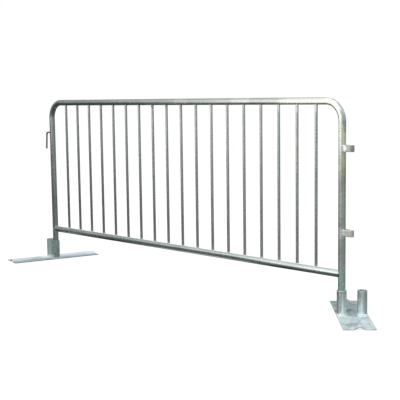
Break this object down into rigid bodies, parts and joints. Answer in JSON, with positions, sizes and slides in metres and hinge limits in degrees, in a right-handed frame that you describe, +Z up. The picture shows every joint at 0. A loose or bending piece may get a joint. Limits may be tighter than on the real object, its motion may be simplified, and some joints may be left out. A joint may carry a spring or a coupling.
{
  "type": "crowd control barrier",
  "caption": "Galvanised steel crowd control barrier: a bent tube frame with upright bars, a drop hook, strap eyes and loose swivelling plate feet with spare sockets.",
  "frame": {"origin": "on the ground at the centre of the whole barrier's box, feet as set down; the two legs stand at x = -1.283 m and x = 1.179 m, y = -0.0128 m", "axes": "+Z up, +X along the barrier from the hook leg to the eye leg, +Y through the panel, away from the side that is usually looked at"},
  "size_m": [2.9728, 0.6354, 1.1],
  "materials": {
    "galvanised_tube": "hot-dip galvanised, dull grey with soft spangle and brighter streaks",
    "galvanised_socket": "hot-dip galvanised, satin",
    "galvanised_plate": "hot-dip galvanised, bright and blotchy",
    "galvanised_fittings": "hot-dip galvanised, dull grey"
  },
  "bodies": {
    "panel": {"frame_tube": "galvanised_tube", "bottom_rail": "galvanised_tube", "bar_01": "galvanised_tube", "bar_02": "galvanised_tube", "bar_03": "galvanised_tube", "bar_04": "galvanised_tube", "bar_05": "galvanised_tube", "bar_06": "galvanised_tube", "bar_07": "galvanised_tube", "bar_08": "galvanised_tube", "bar_09": "galvanised_tube", "bar_10": "galvanised_tube", "bar_11": "galvanised_tube", "bar_12": "galvanised_tube", "bar_13": "galvanised_tube", "bar_14": "galvanised_tube", "bar_15": "galvanised_tube", "bar_16": "galvanised_tube", "bar_17": "galvanised_tube", "bar_18": "galvanised_tube", "coupling_hook": "galvanised_fittings", "upper_eye": "galvanised_fittings", "lower_eye": "galvanised_fittings"},
    "left_foot": {"left_foot_plate": "galvanised_plate", "left_leg_socket": "galvanised_socket", "left_spare_socket": "galvanised_socket"},
    "right_foot": {"right_foot_plate": "galvanised_plate", "right_leg_socket": "galvanised_socket", "right_spare_socket": "galvanised_socket"}
  },
  "joints": [
    {"name": "left_foot_swivel", "type": "hinge", "parent": "panel", "child": "left_foot", "pos_m": [-1.283, -0.01276, 0.06], "axis": [0, 0, 1], "continuous": true},
    {"name": "right_foot_swivel", "type": "hinge", "parent": "panel", "child": "right_foot", "pos_m": [1.179, -0.01276, 0.06], "axis": [0, 0, 1], "continuous": true}
  ]
}
